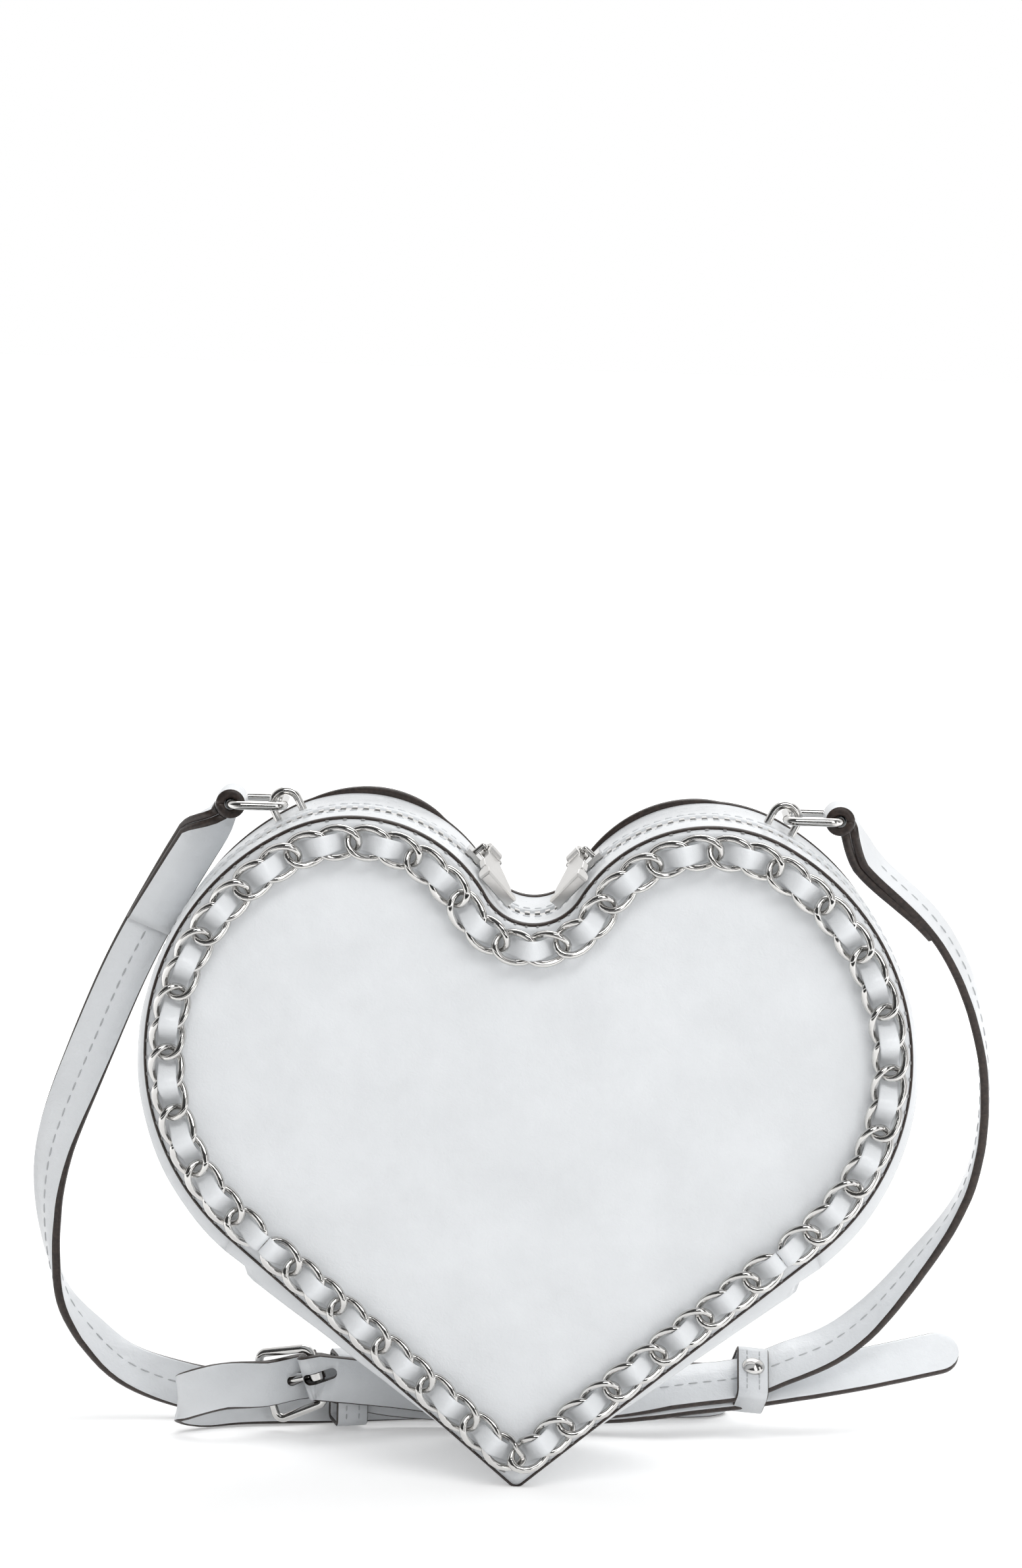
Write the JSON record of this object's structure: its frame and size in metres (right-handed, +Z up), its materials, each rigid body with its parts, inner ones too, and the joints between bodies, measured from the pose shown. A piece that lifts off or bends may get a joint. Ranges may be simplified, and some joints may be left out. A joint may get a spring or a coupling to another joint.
{
  "type": "heart_purse",
  "caption": "Heart shaped structured shoulder purse: padded panels, gusset with a two way zip, woven chain trim on the front and a buckled strap on rings, shown standing on its point.",
  "frame": {"origin": "floor point under the middle of the box around the bag and its strap as pictured", "axes": "+X to the viewer's right along the bag's width, +Y away from the viewer, +Z up"},
  "size_m": [0.2702, 0.0932, 0.185],
  "materials": {
    "white_leather": "gloss",
    "strap_leather": "gloss",
    "ribbon_leather": "satin",
    "lining_cloth": "matte",
    "stiff_board": "matte",
    "zip_tape": "matte",
    "zip_metal": "polished",
    "polished_metal": "polished"
  },
  "bodies": {
    "bag_body": {"front_panel_base": "white_leather", "back_panel": "white_leather", "rear_zip_strip": "white_leather", "bottom_gusset": "white_leather", "ribbon_base": "ribbon_leather", "front_lining_base": "lining_cloth", "back_lining": "lining_cloth", "slip_pocket": "lining_cloth", "front_board_base": "stiff_board", "back_board": "stiff_board", "rear_zip_tape": "zip_tape", "rear_zip_teeth": "zip_metal", "zip_stops": "zip_metal", "chain_base": "polished_metal", "left_anchor": "polished_metal", "right_anchor": "polished_metal", "left_anchor_plate": "polished_metal", "right_anchor_plate": "polished_metal"},
    "front_flap": {"front_panel": "white_leather", "front_board": "stiff_board", "front_lining": "lining_cloth", "front_zip_strip": "white_leather", "front_zip_tape": "zip_tape", "front_zip_teeth": "zip_metal", "chain_flap": "polished_metal", "ribbon_flap": "ribbon_leather"},
    "left_slider_body": {"left_slider": "polished_metal"},
    "right_slider_body": {"right_slider": "polished_metal"},
    "left_pull_body": {"left_pull": "polished_metal"},
    "right_pull_body": {"right_pull": "polished_metal"},
    "strap": {"left_link_ring": "polished_metal", "right_link_ring": "polished_metal", "strap_long": "strap_leather", "strap_short": "strap_leather", "buckle_frame": "polished_metal", "fixed_keeper": "strap_leather"},
    "buckle_tongue_body": {"buckle_tongue": "polished_metal"},
    "keeper_body": {"sliding_keeper": "strap_leather", "keeper_stud": "polished_metal"}
  },
  "joints": [
    {"name": "flap_open", "type": "hinge", "parent": "bag_body", "child": "front_flap", "pos_m": [0.00469, -0.04616, 0.06646], "axis": [1, 0, 0], "range_deg": [0, 45]},
    {"name": "right_slider_travel", "type": "hinge", "parent": "bag_body", "child": "right_slider_body", "pos_m": [0.05278, -0.01581, 0.13811], "axis": [0, 1, 0], "range_deg": [0, 66]},
    {"name": "left_slider_travel", "type": "hinge", "parent": "bag_body", "child": "left_slider_body", "pos_m": [-0.0434, -0.01581, 0.13811], "axis": [0, -1, 0], "range_deg": [0, 66]},
    {"name": "right_pull_swing", "type": "hinge", "parent": "right_slider_body", "child": "right_pull_body", "pos_m": [0.01637, -0.01581, 0.16976], "axis": [-0.6238, 0.309, -0.7179], "range_deg": [0, 150]},
    {"name": "left_pull_swing", "type": "hinge", "parent": "left_slider_body", "child": "left_pull_body", "pos_m": [-0.007, -0.01581, 0.16976], "axis": [-0.6238, -0.309, 0.7179], "range_deg": [0, 150]},
    {"name": "strap_swing", "type": "hinge", "parent": "bag_body", "child": "strap", "pos_m": [0.00469, -0.00321, 0.18061], "axis": [1, 0, 0], "range_deg": [0, 12]},
    {"name": "tongue_swing", "type": "hinge", "parent": "strap", "child": "buckle_tongue_body", "pos_m": [-0.05207, 0.0064, 0.01687], "axis": [0.309, 0, -0.9511], "range_deg": [0, 4]},
    {"name": "keeper_slide", "type": "slide", "parent": "strap", "child": "keeper_body", "axis": [0.9785, 0.2061, 0], "range_m": [-0.015, 0.001]}
  ]
}
